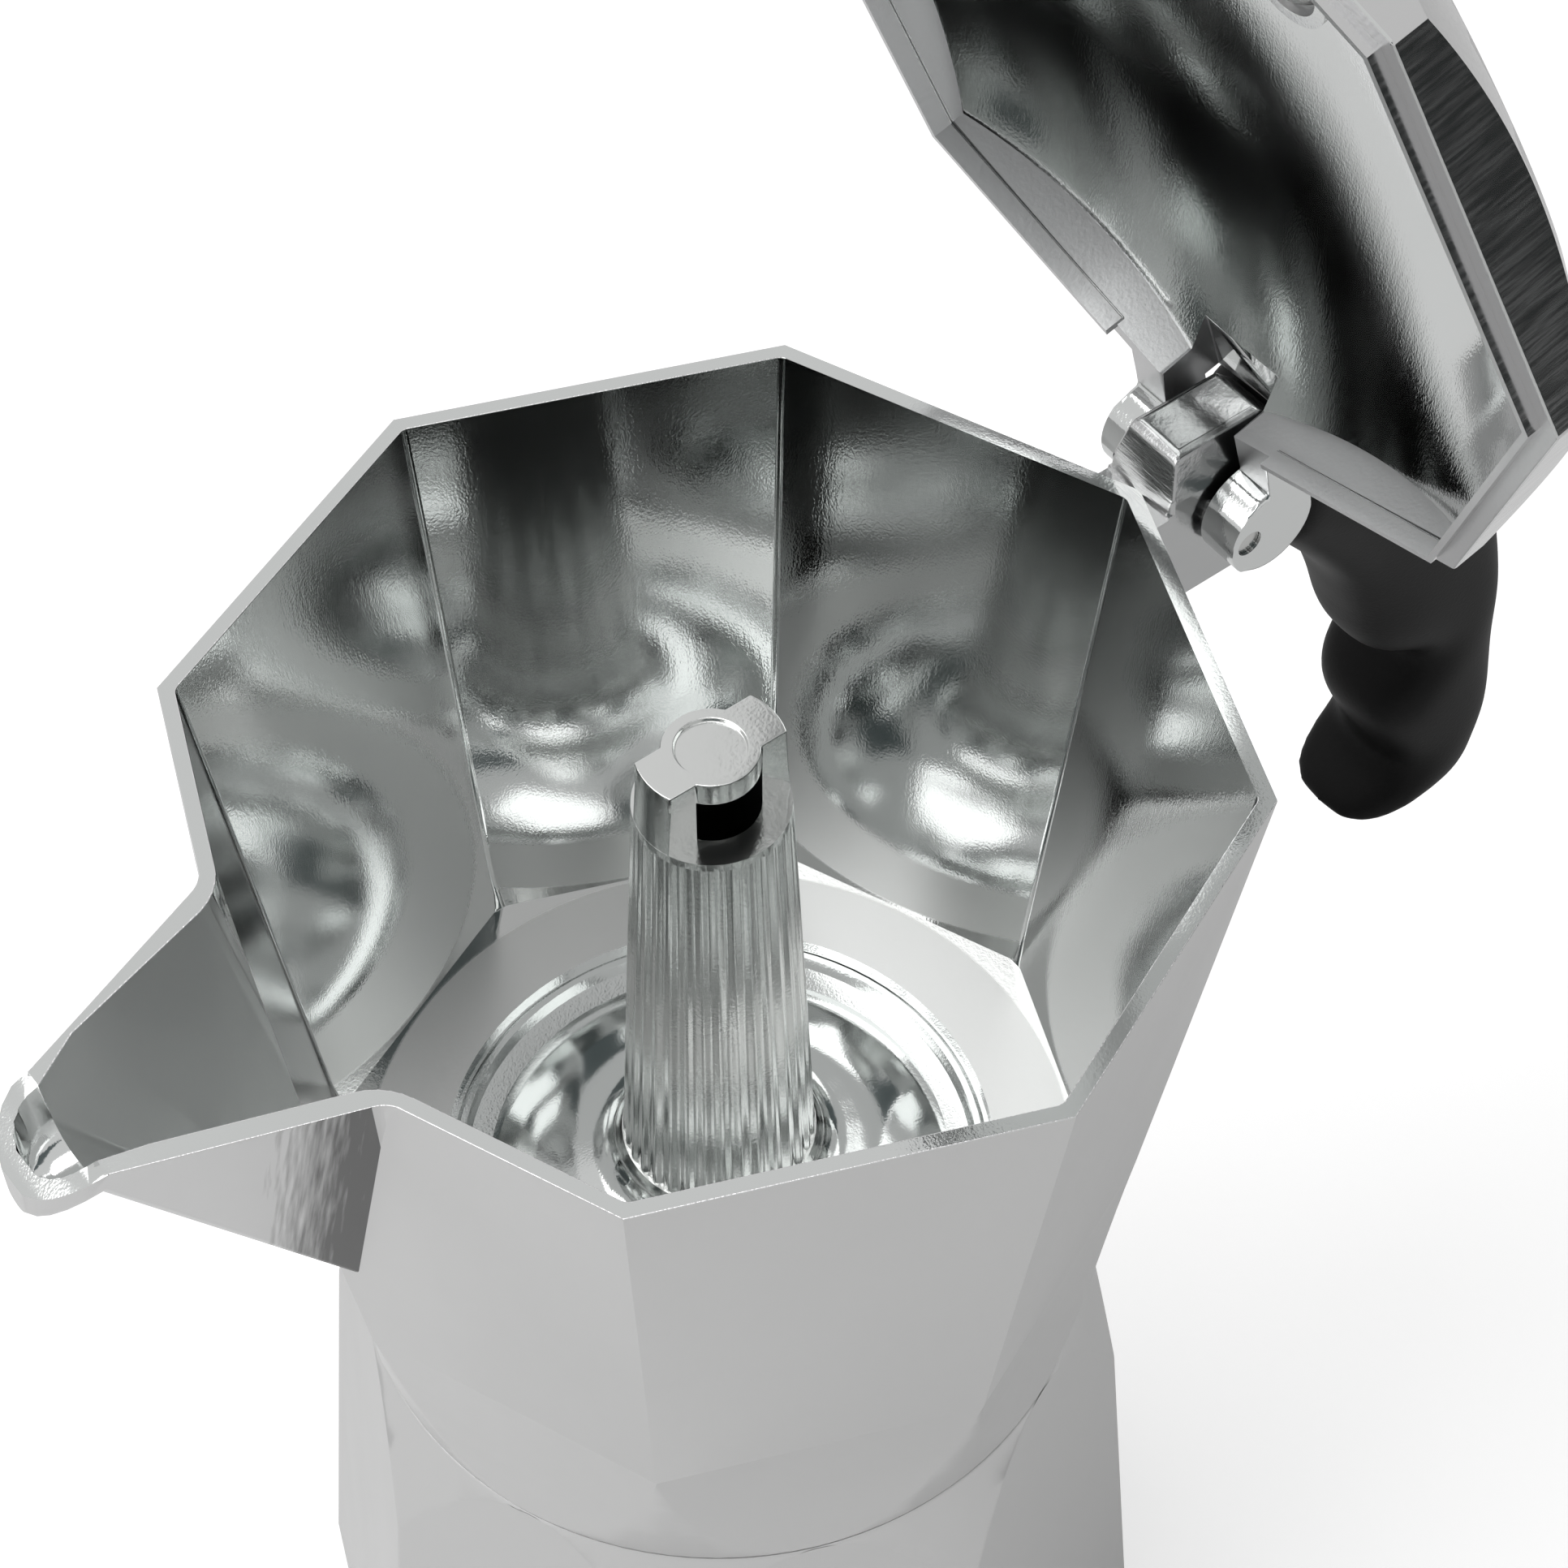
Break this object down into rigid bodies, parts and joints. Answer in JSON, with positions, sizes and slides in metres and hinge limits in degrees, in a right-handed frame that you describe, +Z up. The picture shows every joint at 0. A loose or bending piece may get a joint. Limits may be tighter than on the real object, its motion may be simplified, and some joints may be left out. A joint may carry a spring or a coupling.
{
  "type": "moka pot",
  "caption": "Stove-top moka pot: octagonal cast aluminium boiler and collector with ribbed column and pouring spout, hinged domed lid standing open, black finger-grooved handle and knob.",
  "frame": {"origin": "Centre of the boiler's flat underside, on the pot's axis.", "axes": "+Z up along the pot's axis; +X towards the hinge and handle; the spout points along -X; +Y completes a right-handed frame."},
  "size_m": [0.1936, 0.112, 0.2866],
  "materials": {
    "cast_aluminium": "die-cast, satin brushed outside, polished inside, rim ground flat",
    "pressed_aluminium": "pressed sheet, fine satin",
    "black_plastic": "heat-resistant moulding, soft sheen",
    "gasket_rubber": "moulded, matte, off-white",
    "fibre": "pressed fibre, matte",
    "brass": "turned",
    "steel": "turned, bright"
  },
  "bodies": {
    "boiler_unit": {"boiler": "cast_aluminium", "valve_body": "brass", "valve_washer": "fibre", "valve_retainer": "brass"},
    "plunger_unit": {"valve_plunger": "steel", "valve_spring": "steel"},
    "funnel_unit": {"funnel_basket": "pressed_aluminium", "funnel_stem": "pressed_aluminium", "funnel_sieve": "pressed_aluminium"},
    "gasket_unit": {"gasket": "gasket_rubber"},
    "filter_unit": {"filter_plate": "pressed_aluminium"},
    "collector_unit": {"collector": "cast_aluminium", "handle": "black_plastic", "handle_pin": "steel"},
    "lid_unit": {"lid": "cast_aluminium", "hinge_pin": "steel", "knob": "black_plastic", "knob_insert": "brass", "knob_screw": "steel"}
  },
  "joints": [
    {"name": "valve_blow", "type": "slide", "parent": "boiler_unit", "child": "plunger_unit", "axis": [0.3827, 0.9239, 0], "range_m": [0, 0.001], "stiffness_N_per_m": 800, "springref_m": -0.002},
    {"name": "funnel_lift", "type": "slide", "parent": "boiler_unit", "child": "funnel_unit", "axis": [0, 0, 1], "range_m": [0, 0.0495]},
    {"name": "collector_lift", "type": "slide", "parent": "boiler_unit", "child": "gasket_unit", "axis": [0, 0, 1], "range_m": [0, 0.11]},
    {"name": "thread_rise", "type": "slide", "parent": "gasket_unit", "child": "filter_unit", "axis": [0, 0, 1], "range_m": [0, 0.00526]},
    {"name": "unscrew_turn", "type": "hinge", "parent": "filter_unit", "child": "collector_unit", "pos_m": [0, 0, 0.09], "axis": [0, 0, 1], "range_deg": [0, 630]},
    {"name": "lid_hinge", "type": "hinge", "parent": "collector_unit", "child": "lid_unit", "pos_m": [0.0623, 0, 0.1707], "axis": [0, -1, 0], "range_deg": [0, 75]}
  ],
  "couplings": [
    {"joint": "funnel_lift", "follows": "collector_lift", "ratio": 0.45},
    {"joint": "thread_rise", "follows": "unscrew_turn", "m_per_rad": 0.00047746}
  ]
}
